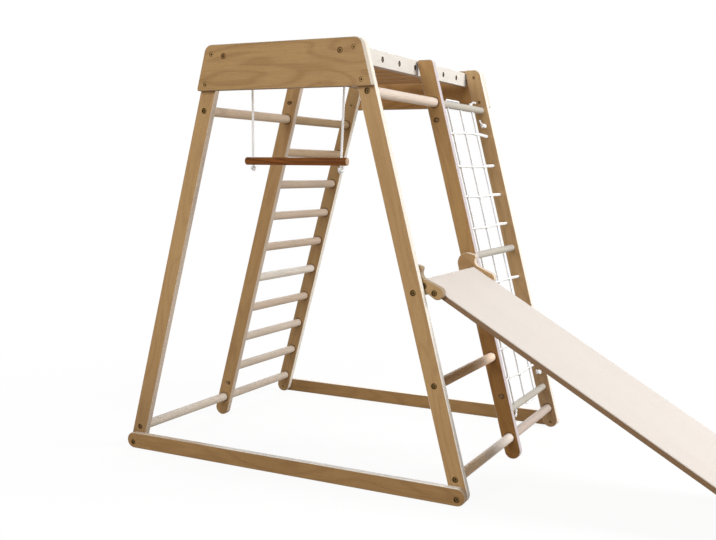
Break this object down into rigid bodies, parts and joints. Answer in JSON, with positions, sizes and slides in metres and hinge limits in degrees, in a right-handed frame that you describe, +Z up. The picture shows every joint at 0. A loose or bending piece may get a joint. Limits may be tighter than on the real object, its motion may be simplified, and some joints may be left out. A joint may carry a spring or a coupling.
{
  "type": "children's climbing frame",
  "caption": "Free-standing wooden climbing frame with leaning legs, overhead bars, a rung ladder, a rope net, a trapeze and a hook-on slide board.",
  "frame": {"origin": "on the floor under the middle of the front floor rail, at half the rail's thickness", "axes": "+X towards the slide, +Y from the front frame to the back one, +Z up"},
  "size_m": [2.0901, 0.986, 1.3],
  "materials": {
    "birch_plywood": "satin lacquer",
    "slide_plywood": "smooth lacquer",
    "beech_dowel": "sanded and oiled",
    "stained_bar": "stained satin",
    "dark_bolts": "dark burnished",
    "net_rope": "twisted white rope",
    "trapeze_rope": "braided white rope"
  },
  "bodies": {
    "frame": {"back_dowel_bolts": "dark_bolts", "back_floor_rail": "birch_plywood", "back_header": "birch_plywood", "back_leg_left": "birch_plywood", "back_leg_right": "birch_plywood", "climbing_net_lower": "net_rope", "climbing_net_upper": "net_rope", "floor_rail_bolts": "dark_bolts", "front_dowel_bolts": "dark_bolts", "front_floor_rail": "birch_plywood", "front_header": "birch_plywood", "front_leg_left": "birch_plywood", "front_leg_right": "birch_plywood", "header_bolts": "dark_bolts", "ladder_rung_1": "beech_dowel", "ladder_rung_10": "beech_dowel", "ladder_rung_2": "beech_dowel", "ladder_rung_3": "beech_dowel", "ladder_rung_4": "beech_dowel", "ladder_rung_5": "beech_dowel", "ladder_rung_6": "beech_dowel", "ladder_rung_7": "beech_dowel", "ladder_rung_8": "beech_dowel", "ladder_rung_9": "beech_dowel", "left_base_dowel": "beech_dowel", "left_top_dowel": "beech_dowel", "middle_leg_left": "birch_plywood", "middle_leg_right": "birch_plywood", "net_base_dowel": "beech_dowel", "net_rung_knots": "net_rope", "net_rung_lower": "beech_dowel", "net_rung_middle": "beech_dowel", "net_rung_top": "beech_dowel", "net_tie_knots": "net_rope", "overhead_bar_1": "beech_dowel", "overhead_bar_2": "beech_dowel", "overhead_bar_3": "beech_dowel", "overhead_bar_4": "beech_dowel", "overhead_bar_5": "beech_dowel", "overhead_bar_6": "beech_dowel", "overhead_bar_7": "beech_dowel", "overhead_bar_bolts": "dark_bolts", "right_base_dowel": "beech_dowel", "right_top_dowel": "beech_dowel", "slide_dowel": "beech_dowel", "spare_insert_bolts": "dark_bolts", "step_dowel": "beech_dowel", "top_beam_left": "birch_plywood", "top_beam_right": "birch_plywood"},
    "trapeze": {"trapeze_bar": "stained_bar", "trapeze_knots": "trapeze_rope", "trapeze_rope_left": "trapeze_rope", "trapeze_rope_right": "trapeze_rope"},
    "slide": {"slide_board": "slide_plywood", "slide_hook_near": "birch_plywood", "slide_hook_far": "birch_plywood", "slide_hook_bolts": "dark_bolts"}
  },
  "joints": [
    {"name": "trapeze_swing", "type": "hinge", "parent": "frame", "child": "trapeze", "pos_m": [0, 0.1195, 1.265], "axis": [1, 0, 0], "range_deg": [-45, 75]},
    {"name": "slide_lift", "type": "hinge", "parent": "frame", "child": "slide", "pos_m": [0.42621, 0.2615, 0.592], "axis": [0, -1, 0], "range_deg": [0, 45]}
  ]
}
